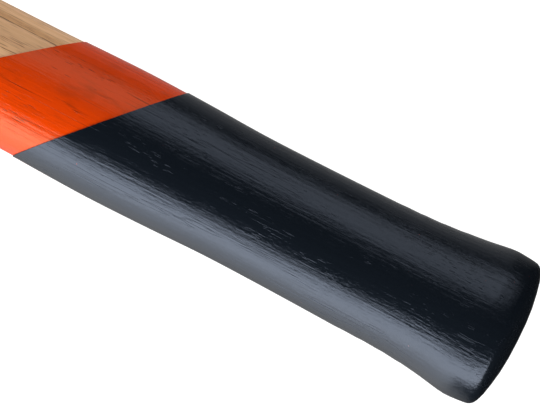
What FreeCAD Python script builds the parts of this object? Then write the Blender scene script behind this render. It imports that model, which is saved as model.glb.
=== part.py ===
"""Splitting maul: a forged steel head hung on a straight wooden handle, built piece by piece.

Every piece is drawn in the tool's own frame, in millimetres: x runs down the handle from the top of
the head to the butt, y points to the poll (the bit is at -y), and z is across the head's thickness.
One placement at the end lays the tool on its side on the floor: +Z up, the butt towards +X, the bit
towards -Y, and the origin under the middle of the tool's box.
"""

import FreeCAD
import Part
import math
import os

from FreeCAD import Placement, Rotation, Vector

# ---- Head: a wedge with a square poll ----
HEAD_HEIGHT = 52.0          # along the handle, top face to underside
POLL_REACH = 72.0           # middle of the eye to the striking face
BIT_REACH = 113.0           # middle of the eye to the cutting edge
CHEEK_HALF = 28.0           # half thickness beside the eye
CHEEK_FORE = 20.0           # how far the flat of the cheek runs from the eye towards the bit
CHEEK_AFT = 24.0            # and towards the poll
POLL_HALF = 24.5            # half thickness of the poll
POLL_NECK = 12.0            # length over which cheek blends into poll
WEDGE_BULGE = 1.6           # how far each face of the wedge is rounded out of flat
BEVEL_HALF_ANGLE = 28.0     # each ground bevel against the middle plane, in degrees
BEVEL_WIDTH = 13.0          # ground bevel, from the edge back along y
EDGE_HALF = 0.6             # half thickness of the edge itself, which is left blunt
EDGE_RADIUS = 150.0         # curve of the cutting edge, seen from the side
HEEL_DROP = 15.0            # how far the heel of the bit hangs below the underside
HEEL_START = 34.0           # where the underside begins to curve down, towards the bit
CORNER_ROUND = 6.0          # toe and heel corners
CHEEK_BLEND = 30.0          # radius of the bends between poll, cheek and wedge
FORGED_ROUND = 2.8          # long edges of the forging
POLL_CHAMFER = 9.0          # leg of the poll's corner flats at the striking face
POLL_CHAMFER_RUN = 40.0     # length over which each corner flat runs out
FACE_CHAMFER = 2.5          # around the striking face

# ---- Eye, and the tongue of the handle that fills it ----
EYE_LONG_HALF = 27.0        # at the underside, along y
EYE_SHORT_HALF = 11.0       # at the underside, along z
EYE_SPREAD = 2.0            # how much more each half measures at the top
TONGUE_SHY = 0.3            # the tongue is sawn off this far inside the top face

# ---- Wedges driven into the tongue ----
KERF_DEPTH = 38.0
WOOD_WEDGE_TOP = 5.5        # thickness of the wooden wedge at its head
WOOD_WEDGE_TIP = 1.4
STEEL_WEDGE_WIDTH = 20.0
STEEL_WEDGE_DEPTH = 28.0
STEEL_WEDGE_TOP = 4.6       # thickness at its head
STEEL_WEDGE_TIP = 1.0
STEEL_WEDGE_STEPS = 4       # barbs on each face
STEEL_WEDGE_BARB = 0.35     # depth of a barb
STEEL_WEDGE_OFFSET = 13.5   # from the middle of the eye, along y
STEEL_WEDGE_TURN = 50.0     # against the wooden wedge, in degrees
STEEL_WEDGE_PROUD = 0.1     # left standing above the sawn tongue

# ---- Handle ----
TOOL_LENGTH = 900.0         # top of the head to the end of the butt
NECK_LONG_HALF = 28.0       # under the head, inside the sleeve
NECK_SHORT_HALF = 14.5
SHAFT_LONG_HALF = 17.1      # slimmest part of the shaft
GRIP_LONG_HALF = 17.5       # waist of the grip
OVAL_SHARE = 0.77           # thickness of the oval against its width, from shaft to grip
SWELL_RISE = 0.75           # palm swell above the waist
KNOB_RISE = 3.4             # end knob above the waist
KNOB_SHORT_HALF = 16.4      # end knob's half thickness
END_DOME_RADIUS = 75.0
END_ROUND = 3.6             # where the sides roll over into the dome

# ---- Dipped coats on the butt: orange first, black over it ----
ORANGE_COAT = 0.25
BLACK_COAT = 0.25
ORANGE_LINE = 160.3         # where the coat's edge crosses the handle's axis, from the end
ORANGE_LEAN = 1.17          # how far the edge runs along the handle per unit of width
ORANGE_TIP = 0.14           # and per unit of thickness
BLACK_LINE = 125.5
BLACK_LEAN = 0.91
BLACK_TIP = 0.14

# ---- Overstrike sleeve and its screws ----
SLEEVE_LENGTH = 68.0
SLEEVE_WALL = 1.5
SLEEVE_GAP = 0.5            # between sleeve and head
SCREW_INSET = 13.0          # screw centres from each end of the sleeve
SCREW_HEAD_RADIUS = 4.2
SCREW_HEAD_HEIGHT = 2.4
SCREW_RADIUS = 2.0
SCREW_LENGTH = 10.0         # under the head
SCREW_POINT = 3.0           # length of the conical point
SCREW_HOLE_CLEARANCE = 0.25
SCREW_SEAT_GAP = 0.08       # between the flat of the head and the crowned sleeve
RECESS_WIDTH = 1.2          # cross recess
RECESS_SPAN = 4.8
RECESS_DEPTH = 1.3

FAR = 400.0                 # size of a cutting block, larger than any piece it cuts
TOUCH = 0.0001              # surfaces closer than this count as touching when one trims another


# ---------------------------------------------------------------- small helpers

def side_of(point, normal, size=FAR):
    """A block that fills the side of a plane that its normal points to."""
    block = Part.makeBox(size * 2, size * 2, size * 2, Vector(-size, -size, 0))
    block.Placement = Placement(point, Rotation(Vector(0, 0, 1), normal))
    return block


def oval(x, long_half, short_half):
    """Closed elliptical wire across the handle at x."""
    if long_half >= short_half:
        ellipse = Part.Ellipse(Vector(x, long_half, 0), Vector(x, 0, short_half), Vector(x, 0, 0))
    else:
        ellipse = Part.Ellipse(Vector(x, 0, short_half), Vector(x, -long_half, 0), Vector(x, 0, 0))
    return Part.Wire([ellipse.toShape()])


def prism(points, direction):
    """Solid swept from a closed polygon along a direction."""
    wire = Part.makePolygon(points + [points[0]])
    return Part.Face(wire).extrude(direction)


def edges_where(shape, test):
    """Edges whose every vertex passes the test."""
    return [edge for edge in shape.Edges if all(test(v.Point) for v in edge.Vertexes)]


# ---------------------------------------------------------------- head

def wedge_section():
    """The head seen along the handle, poll, cheeks and wedge, run out past top, underside and bit."""
    wedge_tip = EDGE_HALF + BEVEL_WIDTH * math.tan(math.radians(BEVEL_HALF_ANGLE))
    tip_y = -(BIT_REACH - BEVEL_WIDTH)
    slope = (CHEEK_HALF - wedge_tip) / (-CHEEK_FORE - tip_y)
    # The wedge's faces run on past the cutting edge; the bevels are ground off later.
    run_out_y = -BIT_REACH - 2.0
    half = [
        Vector(0, POLL_REACH, POLL_HALF),
        Vector(0, CHEEK_AFT + POLL_NECK, POLL_HALF),
        Vector(0, CHEEK_AFT, CHEEK_HALF),
        Vector(0, -CHEEK_FORE, CHEEK_HALF),
        Vector(0, run_out_y, wedge_tip - slope * (tip_y - run_out_y)),
    ]
    outward = Vector(0, half[4].z - half[3].z, half[3].y - half[4].y).normalize()
    middle = (half[3] + half[4]) * 0.5 + outward * WEDGE_BULGE

    def mirrored(point):
        return Vector(point.x, point.y, -point.z)

    edges = [Part.makeLine(mirrored(half[0]), half[0]), Part.makeLine(half[4], mirrored(half[4]))]
    for first, second in zip(half[:3], half[1:4]):
        edges.append(Part.makeLine(first, second))
        edges.append(Part.makeLine(mirrored(first), mirrored(second)))
    edges.append(Part.Arc(half[3], middle, half[4]).toShape())
    edges.append(Part.Arc(mirrored(half[3]), mirrored(middle), mirrored(half[4])).toShape())
    section = Part.Face(Part.Wire(Part.__sortEdges__(edges)))
    section.translate(Vector(-5, 0, 0))
    body = section.extrude(Vector(HEAD_HEIGHT + HEEL_DROP + 10, 0, 0))
    bends = (CHEEK_AFT + POLL_NECK, CHEEK_AFT, -CHEEK_FORE)
    return body.makeFillet(CHEEK_BLEND, [
        edge for edge in body.Edges
        if any(all(abs(v.Y - y) < 0.01 and abs(v.Z) > 1 for v in edge.Vertexes) for y in bends)])


def edge_centre():
    """Centre of the cutting edge's curve, level with the middle of the bit."""
    return Vector((HEAD_HEIGHT + HEEL_DROP) / 2, EDGE_RADIUS - BIT_REACH, 0)


def edge_y(x):
    """Where the cutting edge is at height x."""
    centre = edge_centre()
    return centre.y - math.sqrt(EDGE_RADIUS ** 2 - (x - centre.x) ** 2)


def side_outline(bit_edges, toe, heel):
    """The head seen from its cheek: straight top, poll, and an underside curving down to the heel."""
    start = Vector(HEAD_HEIGHT, -HEEL_START, 0)
    drop, run = heel.x - start.x, start.y - heel.y
    radius = (drop ** 2 + run ** 2) / (2 * drop)
    halfway = Vector(start.x + radius - math.sqrt(radius ** 2 - run ** 2 / 4), start.y - run / 2, 0)
    poll_top, poll_bottom = Vector(0, POLL_REACH, 0), Vector(HEAD_HEIGHT, POLL_REACH, 0)
    edges = [
        Part.makeLine(toe, poll_top),
        Part.makeLine(poll_top, poll_bottom),
        Part.makeLine(poll_bottom, start),
        Part.Arc(start, halfway, heel).toShape(),
    ]
    outline = Part.Face(Part.Wire(Part.__sortEdges__(edges + bit_edges)))
    outline.translate(Vector(0, 0, -FAR / 2))
    return outline.extrude(Vector(0, 0, FAR))


def full_side():
    """The cheek outline with the curved cutting edge and its rounded toe and heel."""
    heel_x = HEAD_HEIGHT + HEEL_DROP
    toe, heel = Vector(0, edge_y(0), 0), Vector(heel_x, edge_y(heel_x), 0)
    bit = Vector(heel_x / 2, edge_y(heel_x / 2), 0)
    body = side_outline([Part.Arc(heel, bit, toe).toShape()], toe, heel)
    corners = edges_where(body, lambda p: p.y < -BIT_REACH * 0.85)
    return body.makeFillet(CORNER_ROUND, [
        edge for edge in corners if edge.BoundBox.ZLength > FAR / 2])


def long_side():
    """The same outline run on past the cutting edge, so the long edges can be rounded whole."""
    heel_x = HEAD_HEIGHT + HEEL_DROP
    heel_y = edge_y(heel_x)
    start = Vector(HEAD_HEIGHT, -HEEL_START, 0)
    drop, run = heel_x - start.x, start.y - heel_y
    radius = (drop ** 2 + run ** 2) / (2 * drop)
    far_y = -BIT_REACH - 8.0
    far_run = start.y - far_y
    far_heel = Vector(start.x + radius - math.sqrt(radius ** 2 - far_run ** 2), far_y, 0)
    far_toe = Vector(0, far_y, 0)
    return side_outline([Part.makeLine(far_heel, far_toe)], far_toe, far_heel)


def bevel_disc():
    """Double cone that the bevels are ground to: its rim is the cutting edge."""
    depth = CHEEK_HALF * 1.5
    reach = EDGE_RADIUS - (depth - EDGE_HALF) / math.tan(math.radians(BEVEL_HALF_ANGLE))
    profile = [
        Vector(0, 0, -depth),
        Vector(reach, 0, -depth),
        Vector(EDGE_RADIUS, 0, -EDGE_HALF),
        Vector(EDGE_RADIUS, 0, EDGE_HALF),
        Vector(reach, 0, depth),
        Vector(0, 0, depth),
    ]
    face = Part.Face(Part.makePolygon(profile + [profile[0]]))
    disc = face.revolve(Vector(0, 0, 0), Vector(0, 0, 1), 360)
    disc.translate(edge_centre())
    return disc


def poll_corner_flats():
    """Four blocks that plane the poll's long corners to flats that widen towards the face."""
    blocks = []
    for x, into in ((0.0, 1), (HEAD_HEIGHT, -1)):
        for side in (1, -1):
            run_out = Vector(x, POLL_REACH - POLL_CHAMFER_RUN, side * POLL_HALF)
            along = Vector(x + into * POLL_CHAMFER, POLL_REACH, side * POLL_HALF) - run_out
            down = Vector(x, POLL_REACH, side * (POLL_HALF - POLL_CHAMFER)) - run_out
            normal = along.cross(down).normalize()
            if normal.z * side < 0:
                normal = normal.negative()
            blocks.append(side_of(run_out, normal))
    return blocks


def eye_plug(top, bottom):
    """The tapered oval that fills the eye, from height top to height bottom."""
    def at(x):
        grow = EYE_SPREAD * (HEAD_HEIGHT - x) / HEAD_HEIGHT
        return oval(x, EYE_LONG_HALF + grow, EYE_SHORT_HALF + grow)
    return Part.makeLoft([at(top), at(bottom)], True, True)


def make_head():
    body = wedge_section().common(long_side()).Solids[0]
    long_edges = [edge for edge in body.Edges
                  if edge.BoundBox.YLength > 1.0 and abs(edge.Vertexes[0].Z) > 1
                  and edge.Vertexes[0].Z * edge.Vertexes[-1].Z > 0
                  and (edge.BoundBox.XMax < 0.01 or edge.BoundBox.XMin > HEAD_HEIGHT - 0.01)]
    body = body.makeFillet(FORGED_ROUND, long_edges)
    body = body.common(full_side())
    for block in poll_corner_flats():
        body = body.cut(block)
    body = body.common(bevel_disc())
    face_edges = edges_where(body, lambda p: abs(p.y - POLL_REACH) < 0.01)
    body = body.makeChamfer(FACE_CHAMFER, face_edges)
    return body.cut(eye_plug(-1, HEAD_HEIGHT + 1))


# ---------------------------------------------------------------- handle

def handle_stations():
    """Half width and half thickness of the handle against the distance from the end of the butt."""
    reach = TOOL_LENGTH - HEAD_HEIGHT
    waist, swell, knob = GRIP_LONG_HALF, GRIP_LONG_HALF + SWELL_RISE, GRIP_LONG_HALF + KNOB_RISE
    flare = knob - waist
    neck = NECK_LONG_HALF
    shaft = SHAFT_LONG_HALF
    widths = [
        (reach, neck), (reach - 70, neck - 0.8), (reach - 140, neck - 3.2),
        (reach - 210, shaft + 4.6), (reach - 290, shaft + 2.0), (reach - 380, shaft + 0.6),
        (reach - 500, shaft), (240, shaft), (190, shaft + 0.15), (155, waist + 0.15),
        (137, waist + 0.50), (120, swell), (103, waist + 0.52), (83, waist), (66, waist + 0.12),
        (50, waist + 0.42), (36, waist + 0.22 * flare), (25, waist + 0.46 * flare),
        (18, waist + 0.74 * flare), (11, knob), (5, knob - 0.75), (-2, knob - 3.2),
    ]
    deep_neck = NECK_SHORT_HALF
    waist_deep, knob_deep = waist * OVAL_SHARE, KNOB_SHORT_HALF
    thickness = [
        (reach, deep_neck), (reach - 70, deep_neck), (reach - 210, deep_neck - 0.2),
        (reach - 380, shaft * OVAL_SHARE + 0.5), (reach - 540, shaft * OVAL_SHARE),
        (200, shaft * OVAL_SHARE), (155, waist_deep + 0.1), (120, waist_deep + 0.7),
        (83, waist_deep), (50, waist_deep + 0.4), (30, waist_deep + 1.3), (18, knob_deep - 0.6),
        (8, knob_deep), (-2, knob_deep - 0.7),
    ]
    return widths, thickness


def smooth_curve(stations):
    """Curve through the stations, read off by distance."""
    curve = Part.BSplineCurve()
    curve.interpolate([Vector(distance, half, 0) for distance, half in stations])

    def half_at(distance):
        low, high = curve.FirstParameter, curve.LastParameter
        for _ in range(40):
            middle = (low + high) / 2
            if curve.value(middle).x > distance:
                low = middle
            else:
                high = middle
        return curve.value((low + high) / 2).y
    return half_at


def handle_form(grow):
    """The handle's outside below the head, made larger all round by grow, with its domed end."""
    widths, thickness = handle_stations()
    width_at, thickness_at = smooth_curve(widths), smooth_curve(thickness)
    sections = []
    for distance, _ in widths:
        sections.append(oval(TOOL_LENGTH - distance, width_at(distance) + grow,
                             thickness_at(distance) + grow))
    body = Part.makeLoft(sections, True, False)
    # The end is trimmed to a shallow dome; its seam is turned away so the rim is one clean edge.
    centre = Vector(TOOL_LENGTH - END_DOME_RADIUS, 0, 0)
    dome = Part.makeSphere(END_DOME_RADIUS + grow, centre)
    dome.rotate(centre, Vector(0, 0, 1), 180)
    rest = Part.makeBox(TOOL_LENGTH, FAR, FAR, Vector(-END_DOME_RADIUS, -FAR / 2, -FAR / 2))
    body = body.common([dome.fuse(rest)], TOUCH).Solids[0]
    rim = edges_where(body, lambda p: p.x > TOOL_LENGTH - 4 and abs(p.y) + abs(p.z) > 5)
    return body.makeFillet(END_ROUND + grow, rim)


def below_line(line, lean, tip):
    """Everything on the butt's side of a dip line that crosses the handle at a slant."""
    crossing = Vector(TOOL_LENGTH - line, 0, 0)
    return side_of(crossing, Vector(1, -lean, -tip))


def slab(x_from, x_to):
    return Part.makeBox(x_to - x_from, FAR, FAR, Vector(x_from, -FAR / 2, -FAR / 2))


# ---------------------------------------------------------------- wedges

def kerf_wedge_block():
    """Long thin wedge driven into the saw kerf, before it is trimmed to the eye's oval."""
    top, tip = TONGUE_SHY, TONGUE_SHY + KERF_DEPTH
    width = 2 * (EYE_LONG_HALF + EYE_SPREAD) + 4
    points = [
        Vector(top, -width / 2, -WOOD_WEDGE_TOP / 2),
        Vector(tip, -width / 2, -WOOD_WEDGE_TIP / 2),
        Vector(tip, -width / 2, WOOD_WEDGE_TIP / 2),
        Vector(top, -width / 2, WOOD_WEDGE_TOP / 2),
    ]
    return prism(points, Vector(0, width, 0))


def make_steel_wedge(towards):
    """Flat steel wedge with stepped barbs, set across the wooden one."""
    step = STEEL_WEDGE_DEPTH / STEEL_WEDGE_STEPS
    taper = (STEEL_WEDGE_TOP - STEEL_WEDGE_TIP) / 2 / STEEL_WEDGE_DEPTH
    flank = []
    for number in range(STEEL_WEDGE_STEPS):
        x = number * step
        half = STEEL_WEDGE_TOP / 2 - taper * x
        flank.append(Vector(x, 0, half))
        if number < STEEL_WEDGE_STEPS - 1:
            next_half = STEEL_WEDGE_TOP / 2 - taper * (x + step)
            flank.append(Vector(x + step, 0, next_half - STEEL_WEDGE_BARB))
    flank.append(Vector(STEEL_WEDGE_DEPTH, 0, STEEL_WEDGE_TIP / 2))
    outline = flank + [Vector(p.x, 0, -p.z) for p in reversed(flank)]
    outline = [Vector(p.x, -STEEL_WEDGE_WIDTH / 2, p.z) for p in outline]
    wedge = prism(outline, Vector(0, STEEL_WEDGE_WIDTH, 0))
    wedge.rotate(Vector(0, 0, 0), Vector(1, 0, 0), towards * STEEL_WEDGE_TURN)
    wedge.translate(Vector(TONGUE_SHY - STEEL_WEDGE_PROUD, towards * STEEL_WEDGE_OFFSET, 0))
    return wedge


# ---------------------------------------------------------------- sleeve and screws

def sleeve_ends():
    start = HEAD_HEIGHT + SLEEVE_GAP
    return start, start + SLEEVE_LENGTH


def screw_places():
    """Screw centres along the handle, each with the side it is driven from."""
    start, end = sleeve_ends()
    return [(x, side) for x in (start + SCREW_INSET, end - SCREW_INSET) for side in (1, -1)]


def make_screw(x, side):
    """Pan-head wood screw: domed head with a cross recess, plain shank, conical point."""
    thickness_at = smooth_curve(handle_stations()[1])
    seat = thickness_at(TOOL_LENGTH - x) + SLEEVE_WALL + SCREW_SEAT_GAP
    head = Part.makeCylinder(SCREW_HEAD_RADIUS, SCREW_HEAD_HEIGHT)
    head = head.makeFillet(SCREW_HEAD_HEIGHT * 0.6,
                           edges_where(head, lambda p: abs(p.z - SCREW_HEAD_HEIGHT) < 0.01)[:1])
    for turn in (45, 135):
        bar = Part.makeBox(RECESS_SPAN, RECESS_WIDTH, RECESS_DEPTH + 1,
                           Vector(-RECESS_SPAN / 2, -RECESS_WIDTH / 2,
                                  SCREW_HEAD_HEIGHT - RECESS_DEPTH))
        bar.rotate(Vector(0, 0, 0), Vector(0, 0, 1), turn)
        head = head.cut(bar)
    shank = Part.makeCylinder(SCREW_RADIUS, SCREW_LENGTH - SCREW_POINT, Vector(0, 0, 0),
                              Vector(0, 0, -1))
    point = Part.makeCone(SCREW_RADIUS, 0.2, SCREW_POINT,
                          Vector(0, 0, -(SCREW_LENGTH - SCREW_POINT)), Vector(0, 0, -1))
    screw = head.fuse([shank, point]).removeSplitter()
    if side < 0:
        screw.rotate(Vector(0, 0, 0), Vector(1, 0, 0), 180)
    screw.translate(Vector(x, 0, side * seat))
    return screw


# ---------------------------------------------------------------- assembly

def build():
    """Every piece in the tool's own frame."""
    wood = handle_form(0)
    under_skin = handle_form(ORANGE_COAT)
    outer_skin = handle_form(ORANGE_COAT + BLACK_COAT)

    tongue = eye_plug(TONGUE_SHY, HEAD_HEIGHT)
    front, rear = make_steel_wedge(-1), make_steel_wedge(1)
    kerf = kerf_wedge_block()
    kerf_wedge = kerf.common(tongue).cut(front).cut(rear)
    tongue = tongue.cut(kerf).cut(front).cut(rear)

    screws = [make_screw(x, side) for x, side in screw_places()]
    start, end = sleeve_ends()
    sleeve = handle_form(SLEEVE_WALL).cut(wood).common(slab(start, end)).Solids[0]
    for x, side in screw_places():
        sleeve = sleeve.cut(Part.makeCylinder(SCREW_RADIUS + SCREW_HOLE_CLEARANCE, 40,
                                              Vector(x, 0, 0), Vector(0, 0, side)))

    handle = wood.fuse(tongue)
    for screw in screws:
        handle = handle.cut(screw)

    return {
        "maul_head": make_head(),
        "handle": handle,
        "kerf_wedge": kerf_wedge,
        "steel_wedge_front": front,
        "steel_wedge_rear": rear,
        "overstrike_sleeve": sleeve,
        "sleeve_screws": Part.makeCompound(screws),
        "orange_undercoat": under_skin.cut(wood).common(
            below_line(ORANGE_LINE, ORANGE_LEAN, ORANGE_TIP)),
        "black_topcoat": outer_skin.cut(under_skin).common(
            below_line(BLACK_LINE, BLACK_LEAN, BLACK_TIP)),
    }


def lowest(shape):
    return shape.optimalBoundingBox(False, False).ZMin


def laid_on_its_side(pieces):
    """The placement that rests cheek and butt on the floor, with the box's middle at the origin."""
    head, butt = pieces["maul_head"], pieces["black_topcoat"]
    tilt = 0.0
    for _ in range(6):
        turn = Rotation(Vector(0, 1, 0), tilt)
        low_head, low_butt = (lowest(moved(piece, Placement(Vector(0, 0, 0), turn)))
                              for piece in (head, butt))
        tilt += math.degrees((low_butt - low_head) / TOOL_LENGTH)
    turn = Rotation(Vector(0, 1, 0), tilt)
    turned = Part.makeCompound([moved(piece, Placement(Vector(0, 0, 0), turn))
                                for piece in pieces.values()])
    box = turned.optimalBoundingBox(False, False)
    middle = Vector((box.XMin + box.XMax) / 2, (box.YMin + box.YMax) / 2, box.ZMin)
    return Placement(middle.negative(), turn)


def moved(shape, placement):
    copy = shape.copy()
    copy.Placement = placement.multiply(copy.Placement)
    return copy


def main():
    os.makedirs("parts", exist_ok=True)
    pieces = build()
    placement = laid_on_its_side(pieces)
    for node, shape in pieces.items():
        piece = shape.Solids[0] if len(shape.Solids) == 1 else shape
        moved(piece, placement).exportStep("parts/" + node + ".step")


main()
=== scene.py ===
"""Splitting maul lying on its side on a pale studio floor, seen close at the painted butt."""

import math

import bpy
from mathutils import Matrix, Vector


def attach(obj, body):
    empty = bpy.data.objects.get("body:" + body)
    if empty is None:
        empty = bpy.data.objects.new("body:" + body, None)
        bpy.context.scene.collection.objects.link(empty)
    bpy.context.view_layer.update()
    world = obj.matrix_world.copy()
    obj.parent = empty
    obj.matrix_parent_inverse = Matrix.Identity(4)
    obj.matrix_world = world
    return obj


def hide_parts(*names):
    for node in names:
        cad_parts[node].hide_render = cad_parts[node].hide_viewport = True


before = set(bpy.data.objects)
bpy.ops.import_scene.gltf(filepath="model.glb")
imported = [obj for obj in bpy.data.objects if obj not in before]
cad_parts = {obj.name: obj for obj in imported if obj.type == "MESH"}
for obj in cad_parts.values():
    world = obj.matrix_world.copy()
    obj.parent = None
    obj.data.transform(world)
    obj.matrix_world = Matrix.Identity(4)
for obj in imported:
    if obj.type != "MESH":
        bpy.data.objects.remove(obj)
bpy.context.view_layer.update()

MM = 0.001

# The tool's own axes run from the top of the head down the handle, in millimetres. It lies on its
# side, tipped a little so that cheek and butt both touch the floor.
REST_TIP = math.radians(0.7529)
EYE_TOP = Vector((-450.05, 20.5, 28.644)) * MM
TOOL_TO_FLOOR = Matrix.Translation(EYE_TOP) @ Matrix.Rotation(REST_TIP, 4, "Y") @ Matrix.Scale(MM, 4)
BUTT = 900.5            # end of the painted butt along the handle
SHOULDER = 52.0         # where the handle meets the underside of the head

# Half width and half thickness of the finished handle against the distance from the end of the
# butt, all in millimetres.
SHAFT = [
    (848.5, 28.5, 15.0), (778.0, 27.7, 15.0), (708.0, 25.3, 14.9), (638.0, 22.2, 14.8),
    (558.0, 19.6, 14.4), (468.0, 18.2, 14.1), (348.0, 17.6, 13.7), (240.0, 17.6, 13.6),
    (190.0, 17.8, 13.75), (156.0, 18.1, 14.05), (142.0, 18.28, 14.3), (132.0, 18.55, 14.5),
    (120.0, 18.76, 14.66), (110.0, 18.66, 14.55), (99.0, 18.42, 14.3), (88.0, 18.08, 14.05),
    (80.0, 18.0, 13.95), (67.0, 18.12, 14.0), (56.0, 18.3, 14.2), (46.0, 18.5, 14.5),
    (40.0, 18.62, 14.7), (35.0, 18.77, 14.95), (30.0, 19.07, 15.25), (24.5, 19.58, 15.7),
    (19.0, 20.25, 16.2), (14.5, 20.98, 16.65), (12.2, 21.32, 16.86), (11.0, 21.4, 16.9),
]
# The same, round the rim and over into the shallow dome.
RIM = [
    (9.8, 21.38, 16.82), (7.4, 21.22, 16.5), (5.4, 21.02, 16.2), (4.5, 20.82, 15.95),
    (3.8, 20.45, 15.55), (3.2, 19.9, 14.95), (2.7, 19.1, 14.2), (2.3, 18.1, 13.3),
    (1.85, 16.8, 12.3), (1.15, 13.6, 9.9), (0.5, 9.6, 7.0), (0.15, 5.4, 3.9), (0.02, 1.2, 0.9),
]
# The tapered tongue that fills the eye, sawn off with its corner eased, and slacker than the eye
# by a tenth of a millimetre.
TONGUE = [
    (900.1, 29.0, 13.0), (899.7, 29.37, 13.37), (887.0, 28.9, 12.9), (874.0, 28.4, 12.4),
    (861.0, 27.9, 11.9), (848.6, 27.4, 11.4),
]

SIDES = 96              # vertices round a ring
COAT_STEP = 2.5         # between the rings of a coat of paint
SHAFT_STEP = 6.0        # between the rings of the wood
FLARE = 40.0            # the handle flares from here to its end,
FLARE_STEP = 1.5        # and its rings stand closer there
DOME = 12.0             # from here on, a skin keeps its distance lengthways as well
SMALLEST = (0.4, 0.3)   # half width and thickness of the last ring, before it is closed
KNOB_DRIFT = 0.4        # the knob was turned this far off the shaft's middle, towards the poll,
DRIFT_FROM = (44, 38, 32, 26)   # and a quarter of that sets in at each of these
END_SKEW = -0.8         # degrees by which the end was sawn out of square,
SAWN_FROM = 10.5        # and it turns as one from here
SHARP = math.radians(38)        # an edge that turns more than this stays crisp


# ------------------------------------------------------------------ modelling helpers

def only(piece):
    """Select one object alone, ready for the next operator."""
    if bpy.context.object and bpy.context.object.mode != "OBJECT":
        bpy.ops.object.mode_set(mode="OBJECT")
    bpy.ops.object.select_all(action="DESELECT")
    piece.select_set(True)
    bpy.context.view_layer.objects.active = piece


def into_edit(piece, pick=None):
    """Enter edit mode with all selected, or only the vertices whose place pick accepts."""
    only(piece)
    bpy.ops.object.mode_set(mode="EDIT")
    bpy.ops.mesh.select_mode(type="VERT")
    bpy.ops.mesh.select_all(action="SELECT" if pick is None else "DESELECT")
    if pick:
        bpy.ops.object.mode_set(mode="OBJECT")
        for vertex in piece.data.vertices:
            vertex.select = pick(vertex.co)
        bpy.ops.object.mode_set(mode="EDIT")


def settle(piece):
    """Leave edit mode and lay the finished piece in its place on the floor."""
    only(piece)
    bpy.ops.object.transform_apply(location=True, rotation=True, scale=True)
    piece.matrix_world = TOOL_TO_FLOOR
    bpy.ops.object.transform_apply(location=True, rotation=True, scale=True)


def apply(piece, kind, **settings):
    """Give a piece one modifier with its settings, and apply it."""
    only(piece)
    modifier = piece.modifiers.new(kind.title(), kind)
    for key, value in settings.items():
        setattr(modifier, key, value)
    bpy.ops.object.modifier_apply(modifier=modifier.name)


def between(stations, distance):
    """Half width and thickness at a distance, on a smooth curve through the stations."""
    index = max(i for i, row in enumerate(stations[:-1]) if row[0] >= distance or i == 0)
    before = stations[max(index - 1, 0)]
    start, end = stations[index], stations[index + 1]
    after = stations[min(index + 2, len(stations) - 1)]
    span = start[0] - end[0]
    part = (start[0] - distance) / span
    result = []
    for axis in (1, 2):
        lead = (end[axis] - before[axis]) / (before[0] - end[0]) * span
        tail = (after[axis] - start[axis]) / (start[0] - after[0]) * span
        result.append((2 * part ** 3 - 3 * part ** 2 + 1) * start[axis]
                      + (part ** 3 - 2 * part ** 2 + part) * lead
                      + (3 * part ** 2 - 2 * part ** 3) * end[axis]
                      + (part ** 3 - part ** 2) * tail)
    return result


def rings(first, step):
    """Stations from a distance down to the butt, a step apart where the handle is plain."""
    distances, distance = [], first
    while distance > SHAFT[-1][0] + 0.4 * step:     # no sliver of a step before the rim
        distances.append(distance)
        distance -= step if distance > FLARE else min(step, FLARE_STEP)
    return [(row, *between(SHAFT, row)) for row in distances] + [SHAFT[-1]] + RIM


def oval_skin(name, stations, grow):
    """A turned-looking oval skin: one ring of vertices drawn out and scaled from ring to ring."""
    reached = BUTT - stations[0][0]
    bpy.ops.object.select_all(action="DESELECT")
    bpy.ops.mesh.primitive_circle_add(vertices=SIDES, radius=1, location=(reached, 0, 0),
                                      rotation=(0, math.radians(90), 0))
    piece = bpy.context.object
    piece.name = name
    bpy.ops.object.transform_apply(location=True, rotation=True, scale=True)
    into_edit(piece)
    now = (1.0, 1.0)
    for distance, wide, thick in stations:
        target = (max(wide + grow, SMALLEST[0]), max(thick + grow, SMALLEST[1]))
        # Below the finished skin, the dome lies deeper by as much as the sides do.
        along = BUTT - distance + (grow if distance < DOME else 0)
        if abs(along - reached) > 1e-6:
            bpy.ops.mesh.extrude_region_move(TRANSFORM_OT_translate={"value": (along - reached, 0, 0)})
        bpy.ops.transform.resize(value=(1, target[0] / now[0], target[1] / now[1]),
                                 center_override=(along, 0, 0))
        now, reached = target, along
    bpy.ops.mesh.merge(type="CENTER")
    bpy.ops.mesh.select_all(action="SELECT")
    bpy.ops.mesh.normals_make_consistent(inside=False)
    # The knob was shaped a little by eye: it drifts aside over its flare, and its end is skewed.
    for start in DRIFT_FROM:
        into_edit(piece, lambda co, start=start: co.x > BUTT - start)
        bpy.ops.transform.translate(value=(0, KNOB_DRIFT / len(DRIFT_FROM), 0))
    into_edit(piece, lambda co: co.x > BUTT - SAWN_FROM)
    bpy.ops.transform.rotate(value=math.radians(END_SKEW), orient_axis="Z",
                             center_override=(BUTT - SAWN_FROM, 0, 0))
    bpy.ops.object.mode_set(mode="OBJECT")
    return piece


# ------------------------------------------------------------------ the painted butt and handle

def paint_coat(name, first, grow, wall, line, lean, tip):
    """One dipped coat: a closed cup over the butt, trimmed at the slanting line where the dip ended.

    The line crosses the middle of the handle that far from the end, and slants along it by lean for
    each millimetre of width and by tip for each of thickness.
    """
    coat = oval_skin(name, rings(first, COAT_STEP), grow)
    into_edit(coat)
    # Each part of the normal counts only up to 1, so it is given as a unit vector.
    bpy.ops.mesh.bisect(plane_co=(BUTT - line, 0, 0), plane_no=Vector((1, -lean, -tip)).normalized(),
                        clear_inner=True, clear_outer=False)
    bpy.ops.object.mode_set(mode="OBJECT")
    apply(coat, "SOLIDIFY", thickness=wall, offset=-1, use_even_offset=True)
    return coat


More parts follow.
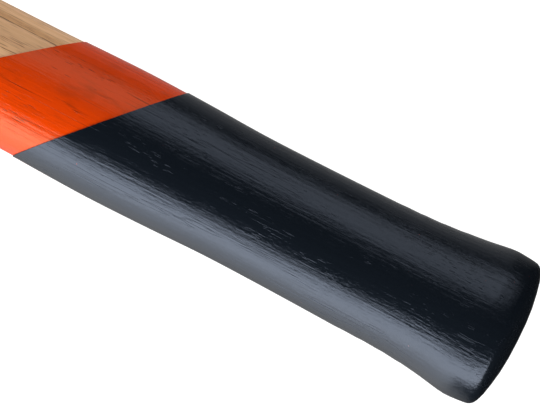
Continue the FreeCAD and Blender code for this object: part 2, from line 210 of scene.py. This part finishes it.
def driven_slot(piece, width, bottom, mouth, tip, aside, turn):
    """Cut the tapered slot that a wedge stands in, run out through the top of the tongue."""
    above, below = 2.0, 0.2
    length = above + bottom + below
    open_end = mouth * (1 + above / bottom)
    bpy.ops.object.select_all(action="DESELECT")
    bpy.ops.mesh.primitive_cube_add(size=1, location=(length / 2 - above, aside, 0),
                                    rotation=(math.radians(turn), 0, 0),
                                    scale=(length, width, open_end))
    cutter = bpy.context.object
    bpy.ops.object.transform_apply(location=False, rotation=False, scale=True)
    into_edit(cutter, lambda co: co.x > 0)
    bpy.ops.transform.resize(value=(1, 1, tip / open_end), center_override=cutter.location,
                             orient_type="LOCAL")
    bpy.ops.object.mode_set(mode="OBJECT")
    apply(piece, "BOOLEAN", operation="DIFFERENCE", solver="EXACT", object=cutter)
    bpy.data.objects.remove(cutter)


black = paint_coat("black_dip_coat", first=150.0, grow=0.0, wall=0.21, line=125.5, lean=0.91, tip=0.14)
orange = paint_coat("orange_dip_coat", first=195.0, grow=-0.25, wall=0.2, line=160.3, lean=1.17, tip=0.14)
wood = oval_skin("hickory_handle", TONGUE + rings(BUTT - SHOULDER, SHAFT_STEP), grow=-0.5)
# Close the sawn top of the tongue.
into_edit(wood, lambda co: co.x < 0.5)
bpy.ops.mesh.edge_face_add()
bpy.ops.object.mode_set(mode="OBJECT")
# The saw kerf as its wooden wedge spread it, then the slots that the two steel wedges drove open.
driven_slot(wood, width=62.0, bottom=38.3, mouth=5.5, tip=1.4, aside=0.0, turn=0.0)
for side in (-1, 1):
    driven_slot(wood, width=20.0, bottom=28.2, mouth=4.6, tip=1.0, aside=13.5 * side, turn=50.0 * side)

for piece, node, slot in ((black, "black_topcoat", "black_enamel"),
                          (orange, "orange_undercoat", "orange_enamel"),
                          (wood, "handle", "varnished_hickory")):
    settle(piece)
    bpy.ops.object.shade_smooth_by_angle(angle=SHARP)
    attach(piece, "root")
    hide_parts(node)


# ------------------------------------------------------------------ materials

# A colour Mix node has several sockets of each name, so its own are picked by number: how much of
# the second colour there is, the two colours, and the outcome.
SHARE, FIRST, SECOND, MIXED = 0, 6, 7, 2


def colour(code):
    """An sRGB hex colour as the linear values the shader wants."""
    parts = [int(code[i:i + 2], 16) / 255 for i in (1, 3, 5)]
    return [p / 12.92 if p <= 0.04045 else ((p + 0.055) / 1.055) ** 2.4 for p in parts] + [1.0]


def add(owner, kind, inputs=None, out=0, stops=(), **settings):
    """Add a node with its settings, fill its inputs with values or links, and return one output.

    A colour ramp's stops are its positions, each with a colour or with one number for a grey.
    """
    tree = owner.node_tree
    node = tree.nodes.new("ShaderNode" + kind)
    for key, value in settings.items():
        setattr(node, key, value)
    for key, value in (inputs or {}).items():
        if isinstance(value, bpy.types.NodeSocket):
            tree.links.new(value, node.inputs[key])
        else:
            node.inputs[key].default_value = value
    for index, (position, shade) in enumerate(stops):
        elements = node.color_ramp.elements
        element = elements[index] if index < len(elements) else elements.new(position)
        element.position = position
        element.color = shade if isinstance(shade, list) else [shade, shade, shade, 1]
    return node.outputs[out] if node.outputs else None


def new_material(name):
    material = bpy.data.materials.new(name)
    material.use_nodes = True
    material.node_tree.nodes.clear()
    return material


def grain(material, across, along, shift=(0, 0, 0), detail=2.0, roughness=0.5, distortion=0.0):
    """Noise whose grains measure so many millimetres across the handle and along it, on Object
    coordinates. The shift keeps one pattern from falling together with another."""
    where = add(material, "Mapping", {
        "Vector": add(material, "TexCoord", out="Object"), "Location": shift,
        "Scale": (1 / (along * MM), 1 / (across * MM), 1 / (across * MM))})
    return add(material, "TexNoise", {"Vector": where, "Scale": 1.0, "Detail": detail,
                                      "Roughness": roughness, "Distortion": distortion})


def finish(material, surface):
    """End a material in a principled surface with these inputs."""
    add(material, "OutputMaterial", {"Surface": add(material, "BsdfPrincipled", surface)})


def telegraphed_grain(paint):
    """The relief that open-pored wood leaves in paint: streaks, a ripple, pores, hairline cracks."""
    streaks = grain(paint, 1.0, 60, detail=5, roughness=0.65)
    ripple = grain(paint, 0.9, 1.6, (1, 8, 3), detail=3, roughness=0.6)
    relief = add(paint, "Bump", {"Height": streaks, "Distance": 0.13 * MM})
    relief = add(paint, "Bump", {"Height": ripple, "Distance": 0.06 * MM, "Normal": relief})
    # Open pores, drawn a little wider than life: a quarter of a millimetre by three.
    pores = add(paint, "ValToRGB", {0: grain(paint, 0.3, 3.6, (3, 1, 2), detail=1)},
                stops=[(0.64, 0.0), (0.70, 1.0)])
    patches = add(paint, "ValToRGB", {0: grain(paint, 4.0, 26, (7, 4, 1))},
                  stops=[(0.50, 0.0), (0.62, 1.0)])
    opened = add(paint, "Math", {0: pores, 1: patches}, operation="MULTIPLY")
    # Hairline cracks where the wood has moved under the paint, a few centimetres long.
    drift = add(paint, "Math", {0: grain(paint, 2.2, 75, (4, 9, 6)), 1: 0.5}, operation="SUBTRACT")
    line = add(paint, "ValToRGB", {0: add(paint, "Math", {0: drift}, operation="ABSOLUTE")},
               stops=[(0.003, 1.0), (0.010, 0.0)])
    stretch = add(paint, "ValToRGB", {0: grain(paint, 6.0, 34, (8, 2, 5), detail=1)},
                  stops=[(0.52, 0.0), (0.60, 1.0)])
    cracks = add(paint, "Math", {0: line, 1: stretch}, operation="MULTIPLY")
    broken = add(paint, "Math", {0: opened, 1: cracks}, operation="MAXIMUM")
    whole = add(paint, "Math", {0: 1.0, 1: broken}, operation="SUBTRACT")
    dents = add(paint, "Bump", {"Height": whole, "Distance": 0.02 * MM, "Normal": relief})
    return dents, broken


# Black oil enamel, dipped and air dried: near black with a cold cast, glossy, grain showing through,
# with the odd speck where it has chipped to the orange.
black_enamel = new_material("black_dipped_enamel")
relief, broken = telegraphed_grain(black_enamel)
chips = add(black_enamel, "ValToRGB", {0: grain(black_enamel, 0.55, 0.9, (6, 6, 2))},
            stops=[(0.795, 0.0), (0.81, 1.0)])
finish(black_enamel, {
    "Base Color": add(black_enamel, "Mix", {SHARE: chips, FIRST: colour("#0e1319"),
                                            SECOND: colour("#c4451c")}, MIXED, data_type="RGBA"),
    "Roughness": add(black_enamel, "ValToRGB", {0: broken}, stops=[(0.0, 0.16), (1.0, 0.45)]),
    "IOR": 1.5, "Specular Tint": colour("#d8e6ff"), "Normal": relief})

# Orange oil enamel, dipped and air dried: strong orange, glossy, and thin enough that dark grain and
# resin stain it.
orange_enamel = new_material("orange_dipped_enamel")
relief, broken = telegraphed_grain(orange_enamel)
blotch = add(orange_enamel, "ValToRGB",
             {0: grain(orange_enamel, 4, 13, (2, 5, 9), detail=4, roughness=0.6)},
             stops=[(0.52, 0.0), (0.74, 0.6)])
thread = add(orange_enamel, "ValToRGB",
             {0: grain(orange_enamel, 0.5, 26, (9, 3, 7), detail=3, roughness=0.6)},
             stops=[(0.60, 0.0), (0.70, 0.45)])
tint = colour("#d13b00")
for stain, shade in ((blotch, "#9c3006"), (thread, "#8a2a08"), (broken, "#7d2608")):
    tint = add(orange_enamel, "Mix", {SHARE: stain, FIRST: tint, SECOND: colour(shade)}, MIXED,
               data_type="RGBA")
finish(orange_enamel, {"Base Color": tint, "Roughness": 0.15, "IOR": 1.5,
                       "Specular Tint": colour("#ffd0a8"), "Normal": relief})

# Hickory under clear varnish: tan growth rings edge on, each with its row of open brown pores.
hickory = new_material("varnished_hickory")
# The rings lie round a pith outside the handle, 2.4 mm apart, and sway along it by up to 7 mm.
pith = add(hickory, "Mapping", {"Vector": add(hickory, "TexCoord", out="Object"),
                                "Scale": (0, 1 / MM, 1 / MM), "Location": (0, 58, 34)})
radius = add(hickory, "VectorMath", {0: pith}, "Value", operation="LENGTH")
sway = add(hickory, "Math", {0: grain(hickory, 16, 210), 1: 7.0}, operation="MULTIPLY")
swayed = add(hickory, "Math", {0: radius, 1: sway}, operation="ADD")
years = add(hickory, "Math", {0: swayed, 1: 2.4}, operation="DIVIDE")
spring = add(hickory, "ValToRGB", {0: add(hickory, "Math", {0: years}, operation="FRACT")},
             stops=[(0.0, 1.0), (0.26, 0.5), (0.42, 0.0), (0.9, 0.0), (1.0, 1.0)])
bands = grain(hickory, 5, 240, (3, 3, 1), detail=4, roughness=0.6, distortion=0.3)
ground = add(hickory, "ValToRGB", {0: bands},
             stops=[(0.32, colour("#cd9865")), (0.50, colour("#dcaa78")), (0.70, colour("#efc196"))])
faint = add(hickory, "Math", {0: spring, 1: 0.22}, operation="MULTIPLY")
ground = add(hickory, "Mix", {SHARE: faint, FIRST: ground, SECOND: colour("#a86f3f")}, MIXED,
             data_type="RGBA")
pores = add(hickory, "ValToRGB",
            {0: grain(hickory, 0.3, 8, (5, 2, 8), detail=2, roughness=0.6)},
            stops=[(0.55, 0.0), (0.65, 1.0)])
crowd = add(hickory, "Math", {0: add(hickory, "Math", {0: spring, 1: 0.75}, operation="MULTIPLY"),
                              1: 0.35}, operation="ADD")
depth = add(hickory, "Math", {0: pores, 1: crowd}, operation="MULTIPLY")
whole = add(hickory, "Math", {0: 1.0, 1: depth}, operation="SUBTRACT")
finish(hickory, {
    "Base Color": add(hickory, "Mix", {SHARE: depth, FIRST: ground, SECOND: colour("#603716")}, MIXED,
                      data_type="RGBA"),
    "Roughness": 0.34, "IOR": 1.5,
    "Normal": add(hickory, "Bump", {"Height": whole, "Distance": 0.05 * MM})})

# Drop-forged carbon steel: the body keeps its forge scale under black lacquer, and the striking
# face and the bevels of the bit are ground bright, with the marks of the wheel.
forged = new_material("forged_lacquered_steel")
STRIKING_FACE = 0.0895  # beyond this far towards the poll, in metres
BIT_BEVELS = -0.06      # beyond this far towards the bit,
BEVEL_LEAN = -0.37      # and facing it by more than this
position = add(forged, "TexCoord", out="Object")
reach = add(forged, "SeparateXYZ", {0: position}, "Y")
facing = add(forged, "SeparateXYZ", {0: add(forged, "TexCoord", out="Normal")}, "Y")
bevel = add(forged, "Math", {
    0: add(forged, "Math", {0: facing, 1: BEVEL_LEAN}, operation="LESS_THAN"),
    1: add(forged, "Math", {0: reach, 1: BIT_BEVELS}, operation="LESS_THAN")}, operation="MULTIPLY")
face = add(forged, "Math", {0: reach, 1: STRIKING_FACE}, operation="GREATER_THAN")
bright = add(forged, "Math", {0: bevel, 1: face}, operation="MAXIMUM")
lacquered = add(forged, "Math", {0: 1.0, 1: bright}, operation="SUBTRACT")
scale_marks = grain(forged, 2.4, 2.4, detail=5, roughness=0.62)
waves = grain(forged, 19, 19, (4, 4, 4), detail=1)
# The wheel ran from bit to poll, and left marks a quarter of a millimetre wide and 11 long.
wheel_marks = add(forged, "TexNoise", {
    "Vector": add(forged, "Mapping", {"Vector": position, "Scale": (3600, 90, 500)}),
    "Scale": 1.0, "Detail": 3, "Roughness": 0.7})
relief = add(forged, "Bump", {"Height": waves, "Distance": 0.9 * MM})
for marks, where, depth in ((scale_marks, lacquered, 0.35), (wheel_marks, bright, 0.04)):
    height = add(forged, "Math", {0: marks, 1: where}, operation="MULTIPLY")
    relief = add(forged, "Bump", {"Height": height, "Distance": depth * MM, "Normal": relief})
lacquer = add(forged, "ValToRGB", {0: scale_marks}, stops=[
    (0.30, colour("#141618")), (0.55, colour("#202325")), (0.75, colour("#2f3234"))])
bare = add(forged, "ValToRGB", {0: wheel_marks}, stops=[
    (0.30, colour("#77797c")), (0.70, colour("#b3b5b8"))])
satin = add(forged, "ValToRGB", {0: scale_marks}, stops=[(0.3, 0.32), (0.7, 0.52)])
polish = add(forged, "ValToRGB", {0: wheel_marks}, stops=[(0.3, 0.34), (0.7, 0.50)])
# Not fully metallic where it is bare, or it would show only the dark of the studio.
finish(forged, {
    "Base Color": add(forged, "Mix", {SHARE: bright, FIRST: lacquer, SECOND: bare}, MIXED,
                      data_type="RGBA"),
    "Roughness": add(forged, "Mix", {SHARE: bright, FIRST: satin, SECOND: polish}, MIXED,
                     data_type="RGBA"),
    "Metallic": add(forged, "Math", {0: bright, 1: 0.6}, operation="MULTIPLY"),
    "Normal": relief})

# Mild steel wedges: cropped from black bar, dull mill scale going bright where they were hammered,
# with a breath of rust.
mild_steel = new_material("mild_steel_wedge")
mill = grain(mild_steel, 1.3, 1.3, detail=4, roughness=0.6)
rusty = add(mild_steel, "ValToRGB", {0: grain(mild_steel, 2.8, 2.8, (7, 1, 3), detail=4)},
            stops=[(0.54, 0.0), (0.72, 0.8)])
steel = add(mild_steel, "ValToRGB", {0: mill}, stops=[
    (0.35, colour("#66686b")), (0.65, colour("#a2a4a7"))])
sound = add(mild_steel, "Math", {0: 1.0, 1: rusty}, operation="SUBTRACT")
finish(mild_steel, {
    "Base Color": add(mild_steel, "Mix", {SHARE: rusty, FIRST: steel, SECOND: colour("#6e4227")},
                      MIXED, data_type="RGBA"),
    "Metallic": add(mild_steel, "Math", {0: sound, 1: 0.75}, operation="MULTIPLY"),
    "Roughness": add(mild_steel, "ValToRGB", {0: mill}, stops=[(0.3, 0.30), (0.7, 0.55)]),
    "Normal": add(mild_steel, "Bump", {"Height": mill, "Distance": 0.12 * MM})})

# Zinc-plated screws, blue passivated: pale bright metal with a faint straw bloom.
zinc = new_material("zinc_plated_steel")
bloom = grain(zinc, 2.0, 2.0, detail=3)
finish(zinc, {
    "Base Color": add(zinc, "ValToRGB", {0: bloom}, stops=[
        (0.35, colour("#c3c9d2")), (0.52, colour("#d2d3d0")), (0.68, colour("#cdc49d"))]),
    "Metallic": 1.0,
    "Roughness": add(zinc, "ValToRGB", {0: bloom}, stops=[(0.3, 0.22), (0.7, 0.38)]),
    "Normal": add(zinc, "Bump", {"Height": grain(zinc, 0.4, 0.4), "Distance": 0.01 * MM})})

# Black polyester powder coat on the steel sleeve: satin, with the orange peel of the oven.
powder = new_material("black_powder_coat")
peel = grain(powder, 0.9, 0.9, roughness=0.45)
finish(powder, {
    "Base Color": add(powder, "ValToRGB", {0: grain(powder, 12, 12, (2, 2, 2), detail=3)}, stops=[
        (0.3, colour("#191a1c")), (0.7, colour("#242629"))]),
    "Roughness": add(powder, "ValToRGB", {0: peel}, stops=[(0.3, 0.40), (0.7, 0.54)]),
    "IOR": 1.5,
    "Normal": add(powder, "Bump", {"Height": peel, "Distance": 0.06 * MM})})

# Beech wedge, sawn and glued in dry: pinkish tan end grain with darker ray flecks.
beech = new_material("sawn_beech_wedge")
flecks = grain(beech, 0.5, 12, (1, 4, 2), roughness=0.6)
tan = add(beech, "ValToRGB", {0: grain(beech, 3.2, 60, detail=3)}, stops=[
    (0.35, colour("#b98358")), (0.65, colour("#d6a67a"))])
rays = add(beech, "ValToRGB", {0: flecks}, stops=[(0.56, 0.0), (0.68, 0.8)])
finish(beech, {
    "Base Color": add(beech, "Mix", {SHARE: rays, FIRST: tan, SECOND: colour("#7f5230")}, MIXED,
                      data_type="RGBA"),
    "Roughness": 0.66, "IOR": 1.5,
    "Normal": add(beech, "Bump", {"Height": flecks, "Distance": 0.08 * MM})})

for piece, material in ((black, black_enamel), (orange, orange_enamel), (wood, hickory)):
    piece.data.materials.clear()
    piece.data.materials.append(material)
for node, material in (("maul_head", forged), ("kerf_wedge", beech), ("steel_wedge_front", mild_steel),
                       ("steel_wedge_rear", mild_steel), ("overstrike_sleeve", powder),
                       ("sleeve_screws", zinc)):
    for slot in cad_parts[node].material_slots:
        slot.material = material


# ------------------------------------------------------------------ floor, light and camera

# Matt pale studio floor, lit evenly from within so that it reads as one clean tone.
studio = new_material("pale_studio_floor")
pale = add(studio, "BsdfPrincipled", {
    "Base Color": colour("#b4b4b4"), "Roughness": 0.9,
    "Emission Color": colour("#ffffff"), "Emission Strength": 0.88})
# Painted reflection and painted shade: in the gloss of the paint the floor is painted bright towards the
# low light, and painted dark under the tool, beyond it and past its end, where its shadow falls.
position = add(studio, "TexCoord", out="Object")
across = add(studio, "MapRange", {"Value": add(studio, "SeparateXYZ", {0: position}, "Y"),
                                  "From Min": -0.1, "From Max": 0.1})
painted_glow_and_shade_across = add(studio, "ValToRGB", {0: across},
           stops=[(0.04, 1.0), (0.38, 0.45), (0.46, 0.16), (0.51, 0.08), (0.75, 0.10)])
# Painted shade past the butt: the floor's painted reflection is strong along the tool and goes dark
# beyond its end.
painted_shade_past_butt = add(studio, "MapRange", {"Value": add(studio, "SeparateXYZ", {0: position}, "X"),
                                 "From Min": 0.430, "From Max": 0.456, "To Min": 3.0, "To Max": 0.06})
# The painted reflection and painted shade, as an emission that only glossy rays see.
painted_floor_reflection = add(studio, "Emission", {
    "Color": colour("#ffffff"),
    "Strength": add(studio, "Math", {0: painted_glow_and_shade_across, 1: painted_shade_past_butt}, operation="MULTIPLY")})
glossy = add(studio, "LightPath", out="Is Glossy Ray")
add(studio, "OutputMaterial", {"Surface": add(studio, "MixShader", {0: glossy, 1: pale, 2: painted_floor_reflection})})

bpy.ops.object.select_all(action="DESELECT")
bpy.ops.mesh.primitive_plane_add(size=60, location=(0, 0, 0))
floor = bpy.context.object
floor.name = "studio_floor"
floor.data.materials.append(studio)


def softbox(name, at, aim, size, watts, in_gloss=True):
    """A rectangular area light, aimed at a point. Some only fill, and stay out of the gloss."""
    light = bpy.data.lights.new(name, "AREA")
    light.shape = "RECTANGLE"
    light.size, light.size_y = size
    light.energy = watts
    lamp = bpy.data.objects.new(name, light)
    bpy.context.scene.collection.objects.link(lamp)
    lamp.location = at
    lamp.rotation_euler = (Vector(aim) - Vector(at)).to_track_quat("-Z", "Y").to_euler()
    lamp.visible_glossy = in_gloss


softbox("low_softbox", at=(0.35, -1.0, 0.375), aim=(0.35, 0.0, 0.05), size=(2.6, 0.75), watts=35.0)
softbox("far_softbox", at=(-0.1, 1.0, 0.91), aim=(-0.1, 0.0, 0.0), size=(1.7, 0.98), watts=6.7)
softbox("far_fill", at=(0.3, 1.1, 0.7), aim=(0.3, 0.0, 0.0), size=(2.0, 1.2), watts=3.5, in_gloss=False)
softbox("overhead_fill", at=(0.2, 0.0, 2.2), aim=(0.2, 0.0, 0.0), size=(2.6, 2.6), watts=14.0,
        in_gloss=False)

# The backdrop is pale to look at, and dark where the gloss of paint and steel shows it.
world = bpy.data.worlds.new("studio")
bpy.context.scene.world = world
world.use_nodes = True
world.node_tree.nodes.clear()
backdrop = add(world, "Mix", {SHARE: add(world, "LightPath", out="Is Camera Ray"),
                              FIRST: (0.02, 0.0216, 0.024, 1), SECOND: (0.92, 0.92, 0.92, 1)},
               MIXED, data_type="RGBA")
add(world, "OutputWorld", {"Surface": add(world, "Background", {"Color": backdrop})})

scene = bpy.context.scene
scene.view_settings.view_transform = "Standard"
scene.view_settings.look = "None"

# A long lens looks almost straight down on the last hand's breadth of the handle.
AZIMUTH, ELEVATION = math.radians(27.7), math.radians(82.5)
STAND_OFF = 1.2
aim = TOOL_TO_FLOOR @ Vector((BUTT - 75.5, 2.6, 0))
back = Vector((math.sin(AZIMUTH) * math.cos(ELEVATION), -math.cos(AZIMUTH) * math.cos(ELEVATION),
               math.sin(ELEVATION)))
lens = bpy.data.cameras.new("long_lens")
lens.lens = 300
lens.clip_end = 50
camera = bpy.data.objects.new("camera", lens)
scene.collection.objects.link(camera)
camera.location = aim + back * STAND_OFF
camera.rotation_euler = (-back).to_track_quat("-Z", "Y").to_euler()
scene.camera = camera
